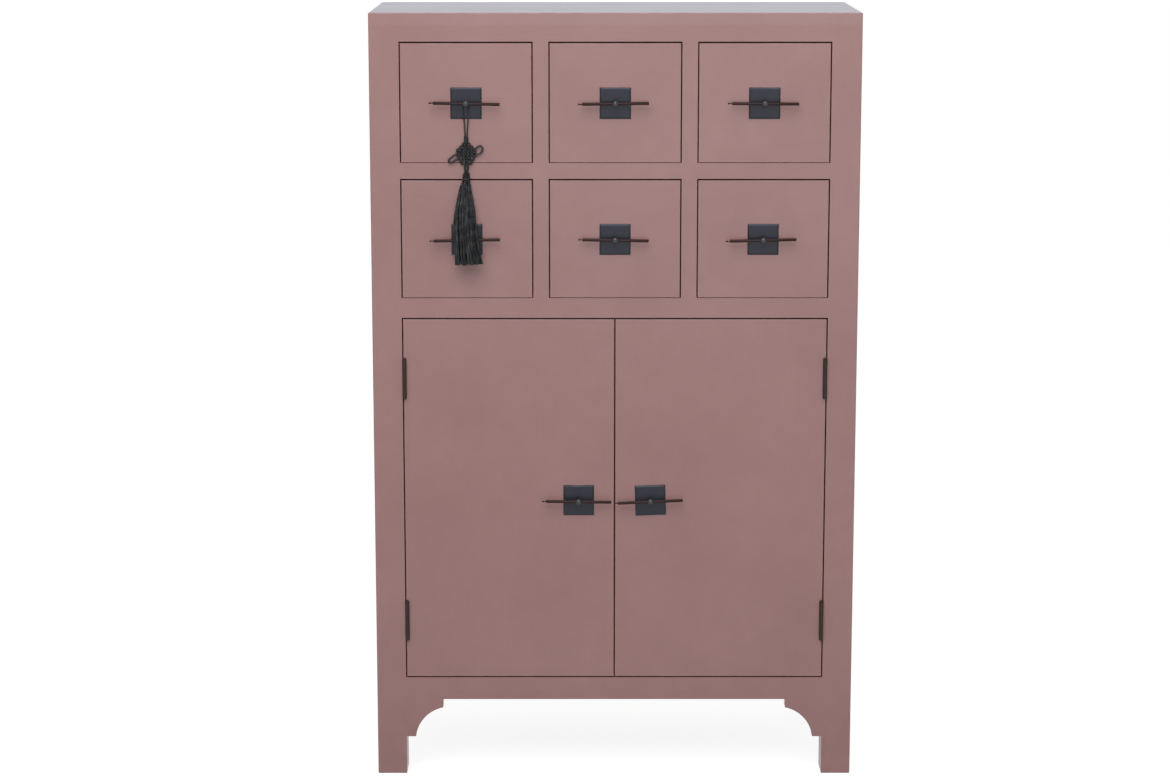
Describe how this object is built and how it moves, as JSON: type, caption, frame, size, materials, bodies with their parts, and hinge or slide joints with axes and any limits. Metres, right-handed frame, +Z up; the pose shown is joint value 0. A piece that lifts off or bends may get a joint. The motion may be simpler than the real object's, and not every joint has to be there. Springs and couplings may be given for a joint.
{
  "type": "drawer and door cabinet",
  "caption": "Upright painted wooden cabinet with rows of flush drawers over a cupboard with two flush doors, square-plate pin pulls and a hanging tassel.",
  "frame": {"origin": "on the floor, at the middle of the bounding box of the cabinet with its pulls", "axes": "+Z up, +Y to the back, +X to the right of someone facing the front"},
  "size_m": [0.63, 0.289, 1.01],
  "materials": {
    "lacquered_wood": "satin",
    "bare_wood": "matte",
    "back_board": "matte",
    "black_iron": "satin",
    "dark_bronze": "satin",
    "catch_plastic": "matte",
    "plated_steel": "satin",
    "black_thread": "matte"
  },
  "bodies": {
    "carcass": {"front_leg_left": "lacquered_wood", "front_leg_right": "lacquered_wood", "rear_leg_left": "lacquered_wood", "rear_leg_right": "lacquered_wood", "side_panel_left": "lacquered_wood", "side_panel_right": "lacquered_wood", "top_panel": "lacquered_wood", "back_panel": "back_board", "top_rail": "lacquered_wood", "drawer_rail": "lacquered_wood", "waist_rail": "lacquered_wood", "bottom_rail": "lacquered_wood", "bracket_left": "lacquered_wood", "bracket_right": "lacquered_wood", "drawer_dividers": "lacquered_wood", "upper_drawer_deck": "bare_wood", "lower_drawer_deck": "bare_wood", "cupboard_floor": "lacquered_wood", "cupboard_shelf": "lacquered_wood", "drawer_guides": "bare_wood", "hinge_frame_leaves": "dark_bronze", "hinge_pins": "dark_bronze", "door_catches": "catch_plastic"},
    "drawer_upper_left": {"drawer_upper_left_front": "lacquered_wood", "drawer_upper_left_box": "bare_wood", "drawer_upper_left_pull_plate": "black_iron"},
    "drawer_upper_left_pull": {"drawer_upper_left_pull_handle": "dark_bronze"},
    "drawer_upper_middle": {"drawer_upper_middle_front": "lacquered_wood", "drawer_upper_middle_box": "bare_wood", "drawer_upper_middle_pull_plate": "black_iron"},
    "drawer_upper_middle_pull": {"drawer_upper_middle_pull_handle": "dark_bronze"},
    "drawer_upper_right": {"drawer_upper_right_front": "lacquered_wood", "drawer_upper_right_box": "bare_wood", "drawer_upper_right_pull_plate": "black_iron"},
    "drawer_upper_right_pull": {"drawer_upper_right_pull_handle": "dark_bronze"},
    "drawer_lower_left": {"drawer_lower_left_front": "lacquered_wood", "drawer_lower_left_box": "bare_wood", "drawer_lower_left_pull_plate": "black_iron"},
    "drawer_lower_left_pull": {"drawer_lower_left_pull_handle": "dark_bronze"},
    "drawer_lower_middle": {"drawer_lower_middle_front": "lacquered_wood", "drawer_lower_middle_box": "bare_wood", "drawer_lower_middle_pull_plate": "black_iron"},
    "drawer_lower_middle_pull": {"drawer_lower_middle_pull_handle": "dark_bronze"},
    "drawer_lower_right": {"drawer_lower_right_front": "lacquered_wood", "drawer_lower_right_box": "bare_wood", "drawer_lower_right_pull_plate": "black_iron"},
    "drawer_lower_right_pull": {"drawer_lower_right_pull_handle": "dark_bronze"},
    "door_left": {"door_left_panel": "lacquered_wood", "door_left_hinge_leaves": "dark_bronze", "door_left_strike_plate": "plated_steel", "door_left_pull_plate": "black_iron"},
    "door_left_pull": {"door_left_pull_handle": "dark_bronze"},
    "door_right": {"door_right_panel": "lacquered_wood", "door_right_hinge_leaves": "dark_bronze", "door_right_strike_plate": "plated_steel", "door_right_pull_plate": "black_iron"},
    "door_right_pull": {"door_right_pull_handle": "dark_bronze"},
    "tassel": {"tassel_loop": "black_thread", "tassel_knot": "black_thread", "tassel_skirt": "black_thread"}
  },
  "joints": [
    {"name": "drawer_upper_left_slide", "type": "slide", "parent": "carcass", "child": "drawer_upper_left", "axis": [0, -1, 0], "range_m": [0, 0.18]},
    {"name": "drawer_upper_left_pull_turn", "type": "hinge", "parent": "drawer_upper_left", "child": "drawer_upper_left_pull", "pos_m": [-0.191, -0.1223, 0.89525], "axis": [0, 1, 0], "range_deg": [-15, 15]},
    {"name": "drawer_upper_middle_slide", "type": "slide", "parent": "carcass", "child": "drawer_upper_middle", "axis": [0, -1, 0], "range_m": [0, 0.18]},
    {"name": "drawer_upper_middle_pull_turn", "type": "hinge", "parent": "drawer_upper_middle", "child": "drawer_upper_middle_pull", "pos_m": [0, -0.1223, 0.89525], "axis": [0, 1, 0], "range_deg": [-15, 15]},
    {"name": "drawer_upper_right_slide", "type": "slide", "parent": "carcass", "child": "drawer_upper_right", "axis": [0, -1, 0], "range_m": [0, 0.18]},
    {"name": "drawer_upper_right_pull_turn", "type": "hinge", "parent": "drawer_upper_right", "child": "drawer_upper_right_pull", "pos_m": [0.191, -0.1223, 0.89525], "axis": [0, 1, 0], "range_deg": [-15, 15]},
    {"name": "drawer_lower_left_slide", "type": "slide", "parent": "carcass", "child": "drawer_lower_left", "axis": [0, -1, 0], "range_m": [0, 0.18], "deforming": ["tassel_skirt"]},
    {"name": "drawer_lower_left_pull_turn", "type": "hinge", "parent": "drawer_lower_left", "child": "drawer_lower_left_pull", "pos_m": [-0.191, -0.1223, 0.71975], "axis": [0, 1, 0], "range_deg": [-15, 15]},
    {"name": "drawer_lower_middle_slide", "type": "slide", "parent": "carcass", "child": "drawer_lower_middle", "axis": [0, -1, 0], "range_m": [0, 0.18]},
    {"name": "drawer_lower_middle_pull_turn", "type": "hinge", "parent": "drawer_lower_middle", "child": "drawer_lower_middle_pull", "pos_m": [0, -0.1223, 0.71975], "axis": [0, 1, 0], "range_deg": [-15, 15]},
    {"name": "drawer_lower_right_slide", "type": "slide", "parent": "carcass", "child": "drawer_lower_right", "axis": [0, -1, 0], "range_m": [0, 0.18]},
    {"name": "drawer_lower_right_pull_turn", "type": "hinge", "parent": "drawer_lower_right", "child": "drawer_lower_right_pull", "pos_m": [0.191, -0.1223, 0.71975], "axis": [0, 1, 0], "range_deg": [-15, 15]},
    {"name": "door_left_hinge", "type": "hinge", "parent": "carcass", "child": "door_left", "pos_m": [-0.27365, -0.1254, 0.37475], "axis": [0, 0, -1], "range_deg": [0, 170]},
    {"name": "door_left_pull_turn", "type": "hinge", "parent": "door_left", "child": "door_left_pull", "pos_m": [-0.047, -0.1223, 0.37475], "axis": [0, 1, 0], "range_deg": [-15, 15]},
    {"name": "door_right_hinge", "type": "hinge", "parent": "carcass", "child": "door_right", "pos_m": [0.27365, -0.1254, 0.37475], "axis": [0, 0, 1], "range_deg": [0, 170]},
    {"name": "door_right_pull_turn", "type": "hinge", "parent": "door_right", "child": "door_right_pull", "pos_m": [0.047, -0.1223, 0.37475], "axis": [0, 1, 0], "range_deg": [-15, 15]},
    {"name": "tassel_swing", "type": "hinge", "parent": "drawer_upper_left", "child": "tassel", "pos_m": [-0.191, -0.1255, 0.89525], "axis": [0, 1, 0], "range_deg": [-20, 20]}
  ]
}
